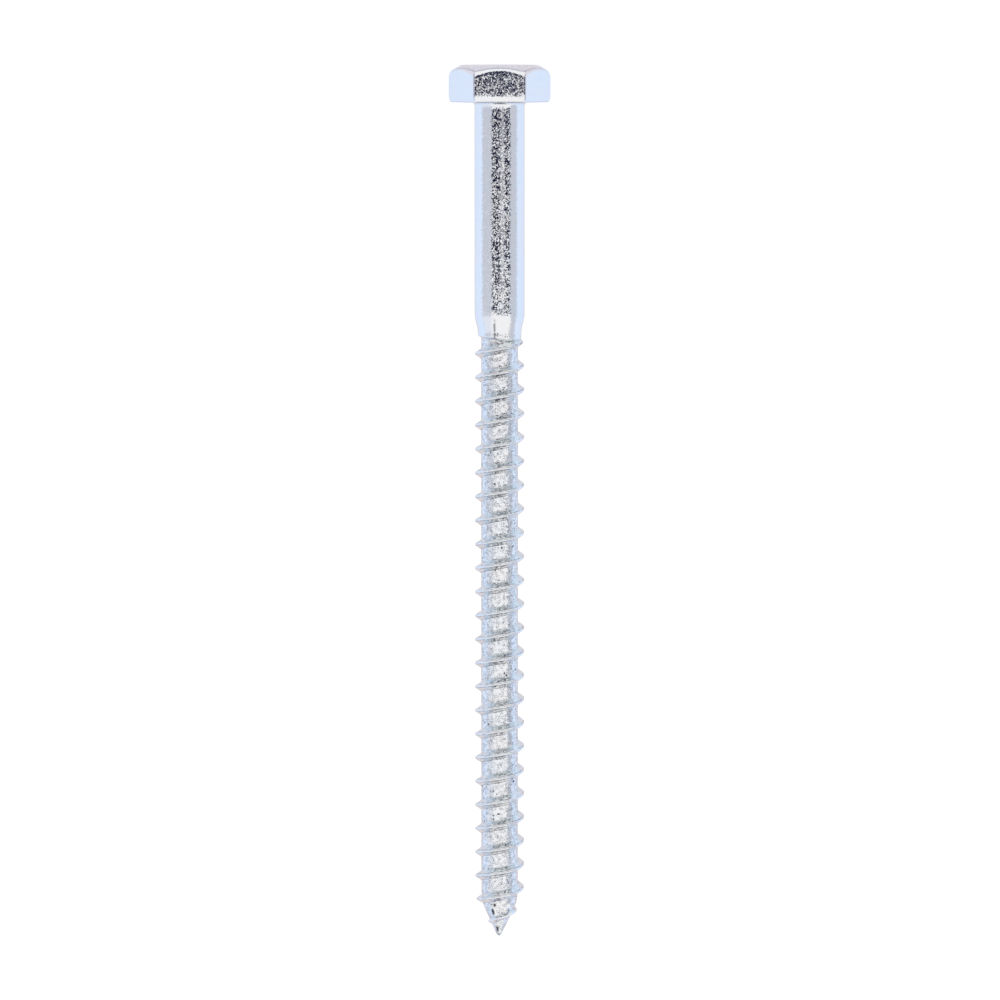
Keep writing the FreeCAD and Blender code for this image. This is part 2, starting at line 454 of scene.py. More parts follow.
@dataclass
class Forging:
    """Head, neck, shank and blank, upset and drawn from wire. Sizes in millimetres and degrees."""

    across_flats: float = 16.9
    head_height: float = 7.1
    crown_flat: float = 14.6
    crown_angle: float = 31.0
    crown_round: float = 1.5
    crown_edge_round: float = 0.9
    crown_corner_round: float = 1.6
    upright_round: float = 0.7
    bearing_round_along: float = 1.3
    bearing_round_across: float = 0.5
    shank_radius: float = 4.78
    neck_round: float = 0.7
    plain_length: float = 40.6
    blank_radius: float = 4.225
    drawn_length: float = 2.7
    drawn_soft: float = 0.35
    blank_taper: float = 0.12
    shoulder_start: float = 44.6
    shoulder_slant: float = 0.35
    shoulder_angle: float = 53.0
    shoulder_round: float = 0.12
    inside_radius: float = 2.4
    columns: int = 192
    corner_share: float = 0.28
    crown_shares: tuple[float, ...] = (0.3, 0.6, 0.85)
    merge_gap: float = 0.00012
    round_steps: int = 5
    flat_rows: int = 8
    bearing_rows: int = 3
    shank_rows: int = 64
    drawn_rows: int = 12
    blank_rows: int = 4

    @property
    def angles(self) -> np.ndarray:
        """Angle of each column round the axis."""
        return np.arange(self.columns) * FULL_TURN / self.columns

    @property
    def drawn(self) -> Span:
        """Heights between which the shank is drawn down."""
        stop = self.plain_length + self.drawn_length + self.drawn_soft
        return self.plain_length - self.drawn_soft, stop

    def points(self, radius: np.ndarray | float, height: np.ndarray | float) -> np.ndarray:
        """One point of the outline for every column, as rows of radius and height."""
        one = np.ones(self.columns)
        return np.column_stack([radius * one, height * one])

    def hexagon(self) -> np.ndarray:
        """Draws the head's outline, with its columns closer together at the rounded corners.

        Returns:
            One row of x and y for each column.
        """
        apothem = self.across_flats / 2
        sector = FULL_TURN / HEX_SIDES
        corner = np.round(self.angles / sector) * sector
        away = (self.angles - corner) / (sector / 2)
        centre = (apothem - self.upright_round) / math.cos(sector / 2)
        swing = sector / 2 * np.clip(away / self.corner_share, -1, 1)
        arc_x = centre + self.upright_round * np.cos(swing)
        arc_y = self.upright_round * np.sin(swing)
        middle_x = apothem * math.cos(sector / 2)
        middle_y = apothem * math.sin(sector / 2) * np.sign(away)
        flat = np.clip((np.abs(away) - self.corner_share) / (1 - self.corner_share), 0, 1)
        x = arc_x * (1 - flat) + middle_x * flat
        y = arc_y * (1 - flat) + middle_y * flat
        cosine, sine = np.cos(corner), np.sin(corner)
        return np.column_stack([x * cosine - y * sine, x * sine + y * cosine])

    def head_rings(self) -> list[tuple[np.ndarray, np.ndarray]]:
        """Rings of the head from the middle of its crown to the rim of its bearing face.

        Returns:
            For each ring the radius and the height of every column.
        """
        reach = np.linalg.norm(self.hexagon(), axis=1)
        one = np.ones(self.columns)
        slope = math.tan(math.radians(self.crown_angle))
        top = -self.head_height
        middle = self.points(0, top)
        rim = self.points(self.crown_flat / 2, top)
        edge = self.points(reach, top + (reach - self.crown_flat / 2) * slope)
        foot = self.points(reach, 0)
        inner = self.points(0, 0)
        corner = (reach - self.across_flats / 2) / (reach.max() - self.across_flats / 2)
        softness = self.crown_edge_round + (self.crown_corner_round - self.crown_edge_round) * corner
        points = [middle + (rim - middle) * share for share in self.crown_shares]
        points += rounded_turn(middle, rim, edge, self.crown_round * one, self.round_steps)
        points += rounded_turn(rim, edge, foot, softness, self.round_steps)
        squeeze = np.array([1.0, self.bearing_round_across / self.bearing_round_along])
        squeezed = [point * squeeze for point in (edge, foot, inner)]
        below = rounded_turn(*squeezed, self.bearing_round_across * one, self.round_steps)
        below = [point / squeeze for point in below]
        start, stop = points[-1], below[0]
        points += [start + (stop - start) * row / self.flat_rows for row in range(1, self.flat_rows)]
        return [(point[:, 0], point[:, 1]) for point in points + below]

    def drawn_radius(self, height: np.ndarray | float) -> np.ndarray | float:
        """Radius of the part that is drawn down, which still tapers a little on the blank.

        Args:
            height: Heights along the screw.

        Returns:
            The radius at each height.
        """
        drawn_from, drawn_to = self.drawn
        narrow = self.blank_radius + self.blank_taper / 2
        fall = (narrow - self.shank_radius) * stepped(drawn_from, drawn_to, height)
        taper = self.blank_taper * (height - drawn_from) / (self.shoulder_start - drawn_from)
        return self.shank_radius + fall - taper

    def shank_rings(self) -> list[tuple[np.ndarray, np.ndarray]]:
        """Rings from the neck to the closed end inside the thread.

        Returns:
            For each ring the radius and the height of every column.
        """
        one = np.ones(self.columns)
        bend = np.linspace(0, math.pi / 2, self.round_steps + 1)
        centre = self.shank_radius + self.neck_round
        rings = [
            (centre - self.neck_round * np.sin(b), self.neck_round * (1 - np.cos(b))) for b in bend
        ]
        drawn_from, drawn_to = self.drawn
        rows = np.linspace(self.neck_round, drawn_from, self.shank_rows + 1)[1:]
        rings += [(self.shank_radius, height) for height in rows]
        for height in np.linspace(drawn_from, drawn_to, self.drawn_rows + 1)[1:]:
            rings.append((self.drawn_radius(height), height))
        rings = [(radius * one, height * one) for radius, height in rings]
        end = self.shoulder_start + self.shoulder_slant * np.cos(self.angles)
        for row in range(1, self.blank_rows):
            height = drawn_to + (end - drawn_to - self.shoulder_round) * row / self.blank_rows
            rings.append((self.drawn_radius(height), height))
        end_radius = self.drawn_radius(end)
        fall = (end_radius - self.inside_radius) / math.tan(math.radians(self.shoulder_angle))
        before = self.points(self.drawn_radius(end - 1), end - 1)
        corner = self.points(end_radius, end)
        after = self.points(self.inside_radius, end + fall)
        points = rounded_turn(before, corner, after, self.shoulder_round * one, self.round_steps)
        return rings + [(point[:, 0], point[:, 1]) for point in points + [after]]

    def extrude(self, count: int) -> bpy.types.Object:
        """Extrudes a disc into a stack of rings, one unit apart.

        Args:
            count: Number of rings.

        Returns:
            The stack, closed at both ends.
        """
        bpy.ops.mesh.primitive_circle_add(
            vertices=self.columns, radius=1, fill_type="NGON", location=(0, 0, 0)
        )
        stack = bpy.context.active_object
        stack.name = NODE + "_steel"
        with editing(stack):
            bpy.ops.mesh.select_all(action="SELECT")
            for _ in range(count - 1):
                bpy.ops.mesh.extrude_region_move(TRANSFORM_OT_translate={"value": (0, 0, 1)})
        return stack

    def build(self) -> bpy.types.Object:
        """Makes the closed forging.

        Returns:
            The forging as an object.
        """
        outline = self.hexagon()
        head = self.head_rings()
        shank = self.shank_rings()
        rim_radius, rim_height = head[-1]
        neck_radius, neck_height = shank[0]
        round_angle = self.angles
        hex_angle = np.arctan2(outline[:, 1], outline[:, 0])
        turned = (hex_angle - round_angle + math.pi) % FULL_TURN - math.pi
        rings = [(radius, height, round_angle + turned) for radius, height in head]
        for row in range(1, self.bearing_rows):
            share = row / self.bearing_rows
            radius = rim_radius + (neck_radius - rim_radius) * share
            height = rim_height + (neck_height - rim_height) * share
            rings.append((radius, height, round_angle + turned * (1 - share)))
        rings += [(radius, height, round_angle) for radius, height in shank]
        table = np.array([[r * np.cos(a), r * np.sin(a), h] for r, h, a in rings])
        stack = self.extrude(len(rings))
        x, y, z = positions(stack).T
        ring = np.round(z).astype(int)
        column = np.round(np.arctan2(y, x) / (FULL_TURN / self.columns)).astype(int) % self.columns
        move_to(stack, table[ring, :, column])
        clean(stack, self.merge_gap)
        return stack


@dataclass(frozen=True)
class Relief:
    """Unevenness pressed or rolled into the steel. Sizes in millimetres."""

    name: str
    grain: float
    depth: float
    levels: int = 20

    def press(self, piece: bpy.types.Object, weight: np.ndarray) -> None:
        """Presses the relief into a piece.

        Args:
            piece: The mesh object to change.
            weight: How much of the relief each vertex takes, from 0 to 1.
        """
        group = piece.vertex_groups.new(name=self.name)
        levels = np.round(np.clip(weight, 0, 1) * self.levels).astype(int)
        for level in range(1, self.levels + 1):
            members = np.nonzero(levels == level)[0]
            if len(members):
                group.add(members.tolist(), level / self.levels, "REPLACE")
        texture = bpy.data.textures.new(self.name, "CLOUDS")
        texture.noise_scale = self.grain
        push = piece.modifiers.new(self.name, "DISPLACE")
        push.texture = texture
        push.texture_coords = "LOCAL"
        push.vertex_group = group.name
        push.strength = self.depth
        apply_modifier(piece, push)
        piece.vertex_groups.remove(piece.vertex_groups[self.name])


@dataclass(frozen=True)
class Grain:
    """Cloudy noise. The size of its grain is in metres."""

    size: float
    layers: float = 1.0
    strength: float = 0.5


class Wire:
    """A socket of a shader that can be used in sums, so that maths reads as maths."""

    def __init__(self, graph: "Graph", socket: bpy.types.NodeSocket) -> None:
        """Wraps an output socket of the graph."""
        self.graph = graph
        self.socket = socket

    def _maths(self, operation: Maths, first: Any, second: Any) -> "Wire":
        """Result of a Math node on two values or wires."""
        return self.graph.node("ShaderNodeMath", {"operation": operation.value}, {0: first, 1: second})

    def __add__(self, other: Any) -> "Wire":
        """Sum."""
        return self._maths(Maths.ADD, self, other)

    __radd__ = __add__

    def __sub__(self, other: Any) -> "Wire":
        """Difference."""
        return self._maths(Maths.SUBTRACT, self, other)

    def __rsub__(self, other: Any) -> "Wire":
        """Difference from a number."""
        return self._maths(Maths.SUBTRACT, other, self)

    def __mul__(self, other: Any) -> "Wire":
        """Product."""
        return self._maths(Maths.MULTIPLY, self, other)

    __rmul__ = __mul__

    def __abs__(self) -> "Wire":
        """Size without sign."""
        return self.graph.node("ShaderNodeMath", {"operation": Maths.SIZE.value}, {0: self})

    def between(self, low: float, high: float) -> "Wire":
        """Smooth step from 0 at the low value to 1 at the high one."""
        inputs = {"Value": self, "From Min": low, "From Max": high}
        return self.graph.node("ShaderNodeMapRange", {"interpolation_type": "SMOOTHSTEP"}, inputs)

    def inside(self, band: Band) -> "Wire":
        """Mask that leaves 0, reaches 1, leaves 1 and is 0 again at the band's four values."""
        return self.between(*band[:2]) * (1 - self.between(*band[2:]))

    def near(self, low: float, high: float, soft: float) -> "Wire":
        """Mask between two values, with its ends as soft on both sides."""
        return self.inside((low - soft, low + soft, high - soft, high + soft))


class Graph:
    """Node tree of a material or of the world, emptied and then built node by node."""

    def __init__(self, tree: bpy.types.NodeTree) -> None:
        """Empties the node tree to build in."""
        tree.nodes.clear()
        self.tree = tree

    def node(
        self, kind: str, settings: dict[str, Any], inputs: dict[Any, Any], output: Any = None
    ) -> Wire:
        """Adds a node.

        Args:
            kind: The node's type.
            settings: Its settings, such as an operation, set first.
            inputs: Values, colours or wires by the name or number of the socket.
            output: Name or number of the output to return. The default is the first that is in use.

        Returns:
            The node's output.
        """
        made = self.tree.nodes.new(kind)
        for name, value in settings.items():
            setattr(made, name, value)
        for name, value in inputs.items():
            socket = made.inputs[name]
            if isinstance(value, Wire):
                self.tree.links.new(value.socket, socket)
            else:
                socket.default_value = value
        enabled = [socket for socket in made.outputs if socket.enabled]
        chosen = made.outputs[output] if output is not None else (enabled[0] if enabled else None)
        return Wire(self, chosen)

    def mixed(self, share: Any, first: Any, second: Any) -> Wire:
        """Mixes two colours or wires, with the given share of the second."""
        inputs = {0: share, 6: first, 7: second}
        return self.node("ShaderNodeMix", {"data_type": "RGBA"}, inputs, output=2)

    def noise(self, place: Wire, grain: Grain) -> Wire:
        """Cloudy noise from 0 to 1."""
        inputs = {"Scale": 1 / grain.size, "Detail": grain.layers, "Roughness": grain.strength}
        return self.node("ShaderNodeTexNoise", {}, {"Vector": place} | inputs, output="Fac")

    def cells(self, place: Wire, size: float) -> Wire:
        """Distance from the middle of the nearest of many cells, from 0 to about 1."""
        inputs = {"Vector": place, "Scale": 1 / size}
        return self.node("ShaderNodeTexVoronoi", {}, inputs, output="Distance")

    def vectors(self, operation: Maths, first: Any, second: Any = (0.0, 0.0, 0.0)) -> Wire:
        """Vector that a Vector Math node makes of two vectors or wires."""
        settings = {"operation": operation.value}
        return self.node("ShaderNodeVectorMath", settings, {0: first, 1: second}, output="Vector")

    def scaled(self, vector: Any, size: Any) -> Wire:
        """Vector made so many times as long."""
        settings = {"operation": Maths.SCALE.value}
        return self.node("ShaderNodeVectorMath", settings, {0: vector, "Scale": size}, output="Vector")

    def along(self, vector: Any, way: Any) -> Wire:
        """How far a vector reaches along a way that is one unit long."""
        settings = {"operation": Maths.DOT.value}
        return self.node("ShaderNodeVectorMath", settings, {0: vector, 1: way}, output="Value")

    def mask(self, name: str) -> Wire:
        """Mask of this name, which is kept on the mesh."""
        return self.node("ShaderNodeAttribute", {"attribute_name": name}, {}, output="Fac")

    def facets(self, place: Wire, size: float, tilt: Any) -> Wire:
        """Leaning of small flat crystals, each the same all over.

        Args:
            place: Where the crystals are read.
            size: Size of a crystal in metres.
            tilt: Greatest lean to both sides together.

        Returns:
            A vector to add to the normal.
        """
        inputs = {"Vector": place, "Scale": 1 / size}
        shade = self.node("ShaderNodeTexVoronoi", {}, inputs, output="Color")
        return self.scaled(self.vectors(Maths.SUBTRACT, shade, (0.5, 0.5, 0.5)), tilt)


@dataclass(frozen=True)
class ZincPlate:
    """Bright zinc on rolled steel: a fine frosted grain, smoother ridges and marked roots, with painted
    shade and reflection tints on the thread's flanks and edges and painted shade lines on the head's
    rounds and corners.

    Sizes in metres. A pair of numbers says where a mask starts and where it is full, and four say
    where it rises and where it falls again.
    """

    bright: Colour = (0.88, 0.905, 0.945, 1.0)
    warm: Colour = (0.905, 0.895, 0.92, 1.0)
    pit: Colour = (0.10, 0.10, 0.11, 1.0)
    # Painted shade and reflection tints for the thread's flanks: blue-grey on flanks facing the head,
    # darker warm grey on flanks facing the tip.
    head_flank_shade: Colour = (0.82, 0.91, 0.945, 1.0)
    to_tip: Colour = (0.86, 0.84, 0.81, 1.0)
    crack: Colour = (0.26, 0.28, 0.32, 1.0)
    # Dark colour painted as shade along the thread's crest edges and in the crease at each flank's
    # foot; the real seam mark on the drawn shank uses it too.
    edge_shade_and_seam: Colour = (0.22, 0.22, 0.24, 1.0)
    # Painted shade: dark lines laid on the rounded edges of head and neck and along the hex corners.
    painted_round_shade: Colour = (0.48, 0.45, 0.53, 1.0)
    clouds: Grain = Grain(0.004, layers=3)
    grain: Grain = Grain(0.00042, layers=2, strength=0.6)
    grain_height: float = 0.000004
    facet_size: float = 0.00023
    facet_tilt: float = 0.095
    small_facet_size: float = 0.00013
    small_facet_tilt: float = 0.055
    rolled_facet_size: float = 0.00042
    rolled_facet_tilt: float = 0.17
    rolled_facet_share: float = 0.35
    rolled_lean: float = 0.04
    crack_size: float = 0.00034
    crack_clouds: Grain = Grain(0.00068, layers=2)
    fine: Grain = Grain(0.00016)
    fine_height: float = 0.000006
    marks: Grain = Grain(0.0009, layers=3, strength=0.55)
    mark_height: float = 0.000016
    pit_size: float = 0.0011
    pit_clouds: Grain = Grain(0.0033)
    pit_height: float = 0.00002
    smooth: float = 0.07
    frosted: float = 0.13
    root_frost: float = 0.6
    cloud_frost: float = 0.2
    flank: Span = (0.45, 0.8)
    to_head_fades: float = 0.7
    to_tip_fades: float = 0.5
    cloudy: Span = (0.35, 0.65)
    crest_edge: Band = (0.74, 0.82, 0.90, 0.96)
    crest_edge_share: float = 0.8
    foot_edge: Band = (0.01, 0.05, 0.10, 0.20)
    foot_faces: Span = (0.3, 0.6)
    foot_share: float = 0.25
    edge_marks: Span = (0.40, 0.56)
    edge_share: float = 0.8
    crown_faces: Span = (0.3, 0.5)
    root_ends: Span = (0.01, 0.08)
    root_worn: float = 0.9
    ridge_worn: float = 0.25
    crown_worn: float = 0.35
    plain_worn: float = 0.05
    rounded: Band = (0.55, 0.62, 0.74, 0.80)
    rounded_share: float = 0.5
    corner_share: float = 0.6
    seam_marks: Span = (0.40, 0.52)
    scar_ends: Span = (0.3, 0.6)
    pit_ends: Span = (0.10, 0.22)
    pit_marks: Span = (0.54, 0.58)
    crack_ends: Span = (0.02, 0.14)
    crack_marks: Span = (0.38, 0.58)

    def material(self, tip_way: Vector) -> bpy.types.Material:
        """Makes the material.

        Args:
            tip_way: Way from the head to the tip.

        Returns:
            The material, which reads object coordinates and the piece's own masks.
        """
        made = bpy.data.materials.new(SLOT)
        made.use_nodes = True
        graph = Graph(made.node_tree)
        place = graph.node("ShaderNodeTexCoord", {}, {}, output="Object")
        outwards = graph.node("ShaderNodeNewGeometry", {}, {}, output="Normal")
        rolled = graph.mask("rolled")
        root = rolled * (1 - graph.mask("rise").between(*RIDGE_RISE) * rolled)
        marks = graph.noise(place, self.marks)
        pits = self.pits(graph, place) * root
        clouds = graph.noise(place, self.clouds)
        height = graph.noise(place, self.grain) * self.grain_height
        height = height + graph.noise(place, self.fine) * self.fine_height
        height = height + marks * root * self.mark_height - pits * self.pit_height
        leaning = self.leaning(graph, place, outwards, rolled, root, tip_way)
        bump = {"Strength": 1.0, "Distance": 1.0, "Height": height, "Normal": leaning}
        normal = graph.node("ShaderNodeBump", {}, bump)
        colour = self.colour(graph, place, graph.along(outwards, tip_way), clouds, marks)
        colour = graph.mixed(pits, colour, self.pit)
        colour = graph.mixed(graph.mask("scars").between(*self.scar_ends), colour, self.pit)
        frost = root * self.root_frost + clouds * self.cloud_frost
        roughness = self.smooth + (self.frosted - self.smooth) * frost
        inputs = {"Base Color": colour, "Metallic": 1.0, "Roughness": roughness, "Normal": normal}
        shader = graph.node("ShaderNodeBsdfPrincipled", {}, inputs)
        graph.node("ShaderNodeOutputMaterial", {}, {"Surface": shader})
        return made

    def colour(self, graph: Graph, place: Wire, facing: Wire, clouds: Wire, marks: Wire) -> Wire:
        """Colour of the zinc with its painted shade on flanks, thread edges, rounds and corners,
        without its pits and scars.

        Args:
            graph: The graph to build in.
            place: Where the patterns are read.
            facing: How far the surface faces the tip, from -1 to 1.
            clouds: Broad cloudy noise.
            marks: Noise of the rolling marks.

        Returns:
            The colour.
        """
        rolled, rise = graph.mask("rolled"), graph.mask("rise")
        plain = 1 - rolled
        # Painted shade: each flank takes a tinted, darker colour by the way it faces, strongest near
        # the root and fading towards the crest.
        head_flank_shade = (0 - facing).between(*self.flank) * rolled * (1 - rise * self.to_head_fades)
        to_tip = facing.between(*self.flank) * rolled * (1 - rise * self.to_tip_fades)
        colour = graph.mixed(clouds.between(*self.cloudy), self.bright, self.warm)
        colour = graph.mixed(to_tip, graph.mixed(head_flank_shade, colour, self.head_flank_shade), self.to_tip)
        # Painted shade: dark lines along the crest edges and in the crease at each flank's foot,
        # stronger where the flank faces the tip.
        lower_foot = self.foot_share + facing.between(*self.foot_faces) * (1 - self.foot_share)
        painted_edge_shade = rise.inside(self.crest_edge) * self.crest_edge_share
        painted_edge_shade = (painted_edge_shade + rise.inside(self.foot_edge) * lower_foot) * rolled
        painted_edge_shade = painted_edge_shade * marks.between(*self.edge_marks) * self.edge_share
        colour = graph.mixed(painted_edge_shade, colour, self.edge_shade_and_seam)
        crown = (0 - facing).between(*self.crown_faces) * plain
        root = rolled * (1 - rise.between(*self.root_ends))
        worn = root * self.root_worn + (rolled - root) * self.ridge_worn
        worn = worn + crown * self.crown_worn + plain * (1 - crown) * self.plain_worn
        colour = graph.mixed(self.cracks(graph, place) * worn, colour, self.crack)
        # Painted shade: dark lines on the rounded edges of head and neck, picked by how far the surface
        # leans, and along the hex corners.
        rounded = abs(facing).inside(self.rounded) * plain
        corner = graph.mask("corner") * (1 - rounded) * (1 - crown)
        lines = rounded * self.rounded_share + corner * self.corner_share
        colour = graph.mixed(lines, colour, self.painted_round_shade)
        # The seam on the drawn shank is a real mark and takes the same dark colour as the painted edge
        # shade.
        seam = graph.mask("seam") * marks.between(*self.seam_marks)
        return graph.mixed(seam, colour, self.edge_shade_and_seam)

    def pits(self, graph: Graph, place: Wire) -> Wire:
        """1 in sparse small pits, where the blank's scale was rolled in, and 0 elsewhere."""
        spots = 1 - graph.cells(place, self.pit_size).between(*self.pit_ends)
        return spots * graph.noise(place, self.pit_clouds).between(*self.pit_marks)

    def cracks(self, graph: Graph, place: Wire) -> Wire:
        """Broken net of fine lines between the crystals of the zinc.

        Args:
            graph: The graph to build in.
            place: Where the pattern is read.

        Returns:
            1 on a line and 0 elsewhere.
        """
        inputs = {"Vector": place, "Scale": 1 / self.crack_size}
        feature = {"feature": "DISTANCE_TO_EDGE"}
        edge = graph.node("ShaderNodeTexVoronoi", feature, inputs, output="Distance")
        broken = graph.noise(place, self.crack_clouds).between(*self.crack_marks)
        return (1 - edge.between(*self.crack_ends)) * broken

    def leaning(
        self, graph: Graph, place: Wire, outwards: Wire, rolled: Wire, root: Wire, tip_way: Vector
    ) -> Wire:
        """Tilts the normal by the lean of the zinc's crystals, which are coarser on the rolled part.

        Args:
            graph: The graph to build in.
            place: Where the crystals are read.
            outwards: The surface's own normal.
            rolled: 1 on the rolled part.
            root: 1 on the root of the thread.
            tip_way: Way from the head to the tip.

        Returns:
            The tilted normal.
        """
        plain = 1 - rolled
        coarse = graph.facets(place, self.rolled_facet_size, rolled * self.rolled_facet_tilt)
        leans = (
            graph.facets(place, self.facet_size, plain * self.facet_tilt),
            graph.facets(place, self.small_facet_size, plain * self.small_facet_tilt),
            graph.vectors(Maths.MULTIPLY, coarse, (1.0, self.rolled_facet_share, 1.0)),
            graph.scaled(tip_way, root * self.rolled_lean),
        )
        for lean in leans:
            outwards = graph.vectors(Maths.ADD, outwards, lean)
        return graph.vectors(Maths.UNIT, outwards)


@dataclass
class Placement:
    """Where the screw lies in the frame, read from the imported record's mounts."""

    head_height: float

    def __post_init__(self) -> None:
        """Finds the screw's axis and the middle of its bearing face."""
        mounts = {mount["name"]: mount for mount in frame["record"]["mounts"]}
        self.to_tip = Vector(mounts["shank"]["axis"]).normalized()
        middle = Vector(mounts["hex_drive"]["pos_m"])
        self.bearing = middle + self.to_tip * (self.head_height / 2 * MILLIMETRE)
        self.across = Vector((1, 0, 0))
        self.upwards = self.to_tip.cross(self.across).normalized()

    def matrix(self) -> Matrix:
        """Matrix that lays the upright screw in millimetres down in the frame in metres."""
        turn = Matrix((self.across, self.upwards, self.to_tip)).transposed().to_4x4()
        return Matrix.Translation(self.bearing) @ turn @ Matrix.Scale(MILLIMETRE, 4)


@dataclass(frozen=True)
class Scar:
    """Dark mark that the dies left on the point. Turns in degrees, lengths in millimetres."""

    turn: float
    height: float
    half_turn: float
    half_length: float

    def darkness(self, angle: np.ndarray, height: np.ndarray) -> np.ndarray:
        """How dark the mark is at each place, from 1 in its middle down to 0."""
        aside = (angle - self.turn) / self.half_turn
        return np.exp(-(aside**2 + ((height - self.height) / self.half_length) ** 2))


@dataclass
class LagScrew:
    """The whole screw, one piece of steel with its finish."""

    forging: Forging
    thread: Thread
    finish: ZincPlate
    placement: Placement
    smooth_angle: float = 32.0
    join_gap: float = 0.00036
    masks_soft: float = 0.1
    root_marks: Relief = Relief("root_marks", grain=0.9, depth=0.028)
    crest_waves: Relief = Relief("crest_waves", grain=2.2, depth=0.06)
    shank_waves: Relief = Relief("shank_waves", grain=3.0, depth=0.009)
    corner_line: float = 0.9
    seam_angle: float = 103.0
    seam_start: float = 1.0
    seam_width: float = 2.6
    scars: tuple[Scar, ...] = (
        Scar(turn=107, height=153.6, half_turn=6, half_length=0.35),
        Scar(turn=118, height=155.0, half_turn=7, half_length=0.75),
        Scar(turn=113, height=158.6, half_turn=15, half_length=0.6),
    )

    def join(self, steel: bpy.types.Object, rod: bpy.types.Object) -> None:
        """Joins the threaded rod to the forging.

        Args:
            steel: The forging, which becomes the whole screw.
            rod: The threaded rod, which is used up.
        """
        union = steel.modifiers.new("one_piece", "BOOLEAN")
        union.operation = "UNION"
        union.solver = "EXACT"
        union.object = rod
        apply_modifier(steel, union)
        bpy.data.objects.remove(rod)
        clean(steel, self.join_gap)

    def masks(self, steel: bpy.types.Object) -> dict[str, np.ndarray]:
        """Finds the rolled part, the ridge, the head's corners, the seam and the point's dark marks.

        Args:
            steel: The whole screw, still upright.

        Returns:
            For each name of a mask one value from 0 to 1 for each vertex.
        """
        x, y, z = positions(steel).T
        start = self.forging.shoulder_start
        rolled = stepped(start - self.masks_soft, start + self.masks_soft, z)
        rise = (np.hypot(x, y) - self.thread.root(z)) / self.thread.ridge
        angle = np.degrees(np.arctan2(y, x))
        side = 360 / HEX_SIDES
        off_corner = (angle + side / 2) % side - side / 2
        on_head = z < -self.forging.bearing_round_across
        # This mask only places the painted shade lines along the head's corners.
        corner = np.exp(-((off_corner / self.corner_line) ** 2)) * on_head
        shank_end = self.forging.plain_length
        drawn = stepped(shank_end, shank_end + self.seam_start, z) * (1 - rolled)
        seam = np.exp(-(((angle - self.seam_angle) / self.seam_width) ** 2)) * drawn
        scars = np.max([scar.darkness(angle, z) for scar in self.scars], axis=0)
        return {
            "rolled": rolled,
            "rise": np.clip(rise, 0, 1) * rolled,
            "corner": corner,
            "seam": seam,
            "scars": scars,
        }

    def store(self, steel: bpy.types.Object, name: str, values: np.ndarray) -> None:
        """Keeps a mask on the mesh for the material, one value for each vertex."""
        mask = steel.data.attributes.new(name, "FLOAT", "POINT")
        mask.data.foreach_set("value", values.astype(np.float32))

    def press_reliefs(self, steel: bpy.types.Object) -> None:
        """Presses the unevenness of forging and rolling into the steel.

        Args:
            steel: The whole screw, still upright.
        """
        masks = self.masks(steel)
        rolled = masks["rolled"]
        crest = stepped(*RIDGE_RISE, masks["rise"])
        self.root_marks.press(steel, rolled * (1 - crest))
        self.crest_waves.press(steel, crest)
        self.shank_waves.press(steel, 1 - rolled)

    def build(self) -> bpy.types.Object:
        """Makes the screw, lays it down and dresses it.

        Returns:
            The finished piece.
        """
        steel = self.forging.build()
        self.join(steel, self.thread.build())
        for name, values in self.masks(steel).items():
            self.store(steel, name, values)
        self.press_reliefs(steel)
        choose(steel)
        bpy.ops.object.shade_smooth_by_angle(angle=math.radians(self.smooth_angle))
        steel.matrix_world = self.placement.matrix()
        bpy.ops.object.transform_apply(location=True, rotation=True, scale=True)
        steel.data.materials.clear()
        steel.data.materials.append(self.finish.material(self.placement.to_tip))
        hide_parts(NODE)
        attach(steel, BODY)
        return steel


